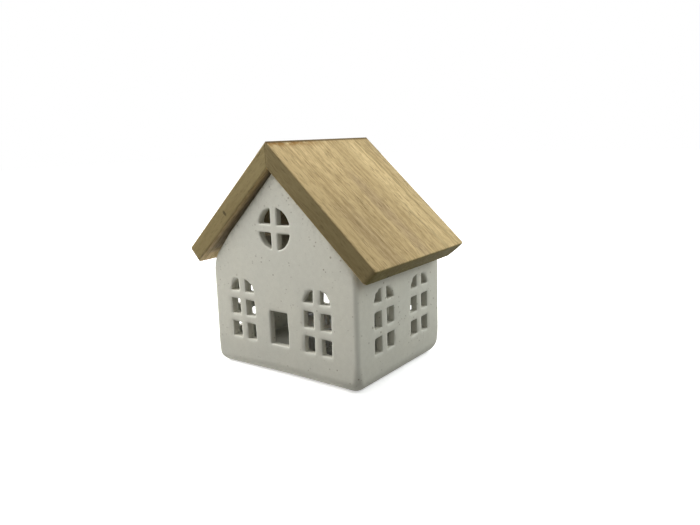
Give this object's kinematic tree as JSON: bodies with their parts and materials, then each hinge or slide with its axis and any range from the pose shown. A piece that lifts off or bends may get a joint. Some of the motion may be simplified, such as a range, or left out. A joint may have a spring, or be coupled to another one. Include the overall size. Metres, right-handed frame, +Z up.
{
  "type": "tealight house",
  "caption": "Stoneware house with cut-out arched windows and a doorway under a lift-off pitched wooden roof, made to hold a tealight whose light shines out through the panes.",
  "frame": {"origin": "on the ground under the middle of the house", "axes": "+X to the right along the gable front, +Y from the front to the back, +Z up"},
  "size_m": [0.1258, 0.085, 0.1215],
  "materials": {
    "stoneware": "matt off-white glaze with fine dark specks",
    "roof_wood": "sanded and clear waxed",
    "batten_wood": "plain sawn",
    "steel": "bare",
    "cup_aluminium": "drawn",
    "wax": "soft sheen",
    "wick": "braided cotton"
  },
  "bodies": {
    "house": {"house_body": "stoneware"},
    "roof": {"roof_board_left": "roof_wood", "roof_board_right": "roof_wood", "ridge_batten": "batten_wood", "ridge_brads": "steel"},
    "tealight": {"tealight_cup": "cup_aluminium", "tealight_wax": "wax", "tealight_wick": "wick", "tealight_wick_tab": "steel"}
  },
  "joints": [
    {"name": "roof_lift", "type": "slide", "parent": "house", "child": "roof", "axis": [0, 0, 1], "range_m": [0, 0.07]},
    {"name": "tealight_lift", "type": "slide", "parent": "house", "child": "tealight", "axis": [0, 0, 1], "range_m": [0, 0.06]}
  ]
}
